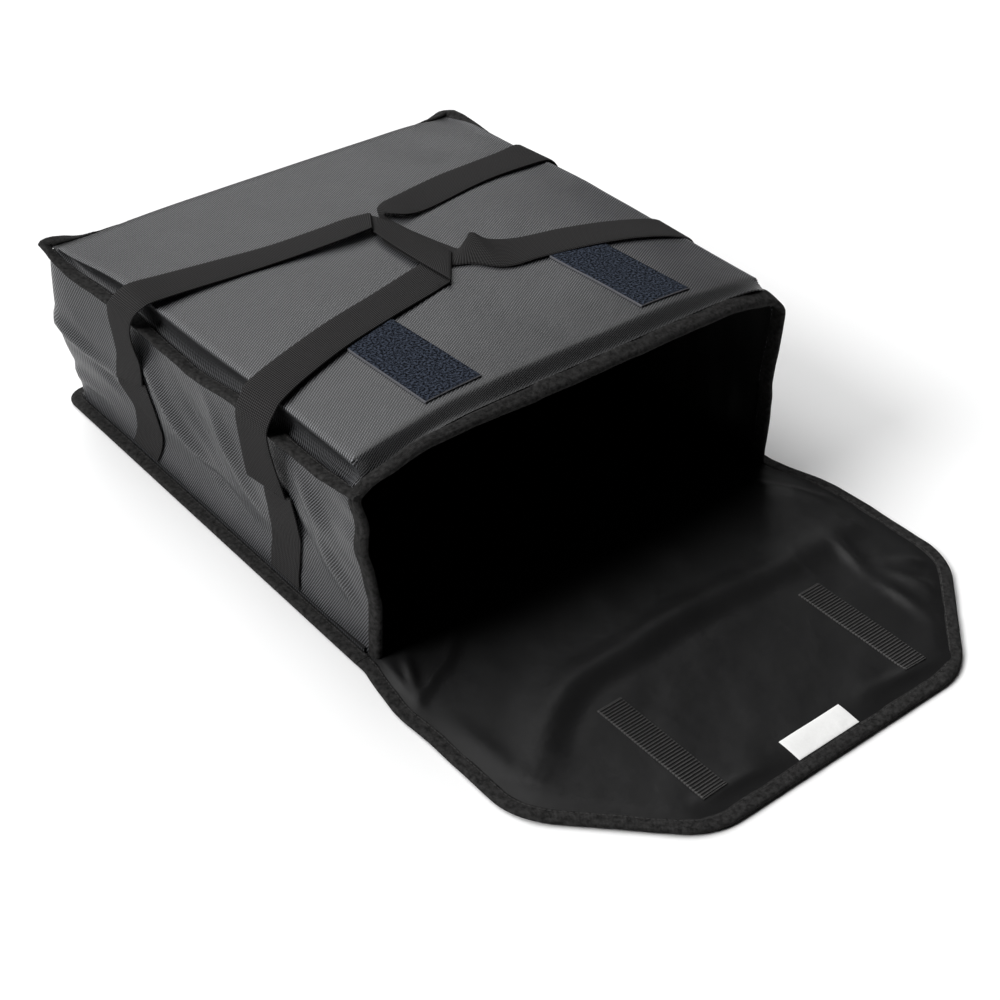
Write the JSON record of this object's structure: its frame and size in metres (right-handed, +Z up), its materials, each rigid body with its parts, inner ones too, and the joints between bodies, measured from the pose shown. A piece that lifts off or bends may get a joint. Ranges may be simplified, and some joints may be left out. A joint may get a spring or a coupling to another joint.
{
  "type": "insulated carry bag",
  "caption": "Flat insulated carry bag for food cartons: padded lid, bound seams, fold-over front flap with hook-and-loop closure, and webbing carry handles.",
  "frame": {"origin": "centre of the bag body's base, on the floor", "axes": "+Z up, the mouth and the open flap towards -Y, X across the bag"},
  "size_m": [0.4414, 0.7102, 0.1841],
  "materials": {
    "coated_cloth": "fine diamond weave with a satin coating",
    "lining": "smooth satin",
    "foam": "closed-cell foam",
    "binding": "ribbed tape, matt",
    "webbing": "woven, slight sheen",
    "loop_pile": "fuzzy pile",
    "hook_tape": "fine hooks, matt",
    "tag_cloth": "smooth woven"
  },
  "bodies": {
    "bag": {"base_foam_board": "foam", "base_lining": "lining", "base_outer_panel": "coated_cloth", "bottom_seam_binding": "binding", "gusset_lining": "lining", "gusset_outer_panel": "coated_cloth", "left_foam_board": "foam", "left_front_strap": "webbing", "left_loop_patch": "loop_pile", "left_rear_strap": "webbing", "lid_foam_board": "foam", "lid_lining": "lining", "lid_outer_panel": "coated_cloth", "mouth_left_binding": "binding", "mouth_right_binding": "binding", "mouth_top_binding": "binding", "rear_foam_board": "foam", "right_foam_board": "foam", "right_front_strap": "webbing", "right_loop_patch": "loop_pile", "right_rear_strap": "webbing", "top_seam_binding": "binding"},
    "flap_front": {"flap_foam_board": "foam", "flap_left_binding": "binding", "flap_lining": "lining", "flap_outer_panel": "coated_cloth", "flap_right_binding": "binding", "left_hook_strip_heel": "hook_tape", "right_hook_strip_heel": "hook_tape"},
    "flap_tip": {"flap_tip_binding": "binding", "flap_tip_foam_board": "foam", "flap_tip_lining": "lining", "flap_tip_outer_panel": "coated_cloth", "left_hook_strip": "hook_tape", "right_hook_strip": "hook_tape", "sewn_tag": "tag_cloth"},
    "handle_left": {"left_handle": "webbing"},
    "handle_right": {"right_handle": "webbing"}
  },
  "joints": [
    {"name": "flap_hinge", "type": "hinge", "parent": "bag", "child": "flap_front", "pos_m": [0, -0.2233, 0.0062], "axis": [-1, 0, 0], "range_deg": [0, 90]},
    {"name": "flap_fold", "type": "hinge", "parent": "flap_front", "child": "flap_tip", "pos_m": [0, -0.4039, 0.0062], "axis": [-1, 0, 0], "range_deg": [0, 90]},
    {"name": "left_handle_hinge", "type": "hinge", "parent": "bag", "child": "handle_left", "pos_m": [-0.2086, 0, 0.1691], "axis": [0, -1, 0], "range_deg": [0, 90]},
    {"name": "right_handle_hinge", "type": "hinge", "parent": "bag", "child": "handle_right", "pos_m": [0.2086, 0, 0.1691], "axis": [0, 1, 0], "range_deg": [0, 90]}
  ]
}
